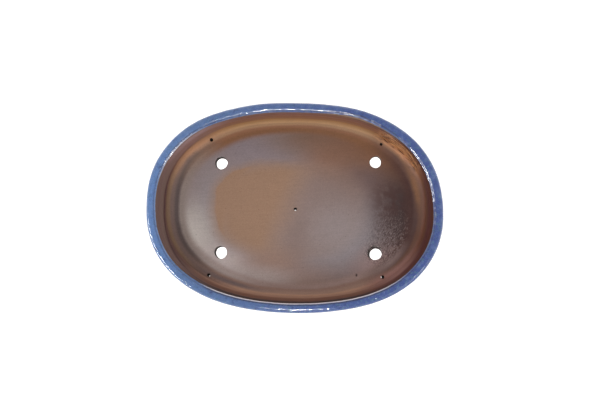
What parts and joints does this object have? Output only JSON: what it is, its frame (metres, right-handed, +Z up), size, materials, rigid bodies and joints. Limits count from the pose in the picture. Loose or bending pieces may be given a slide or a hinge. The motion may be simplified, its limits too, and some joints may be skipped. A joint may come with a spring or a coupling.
{
  "type": "bonsai pot",
  "caption": "Shallow oval footed bonsai pot, blue glazed outside and over a rolled lip, bare clay inside, with drainage and wire holes.",
  "frame": {"origin": "on the table, under the middle of the pot", "axes": "+X along the pot's length, +Y across it towards its back, +Z up"},
  "size_m": [0.3, 0.212, 0.065],
  "materials": {
    "clay": "bare fired stoneware, satin",
    "glaze": "glossy blue glaze"
  },
  "bodies": {
    "root": {"base": "clay", "wall": "clay", "rim_lip": "clay", "glaze_coat": "glaze", "foot_front_left": "clay", "foot_front_right": "clay", "foot_back_left": "clay", "foot_back_right": "clay"}
  },
  "joints": []
}
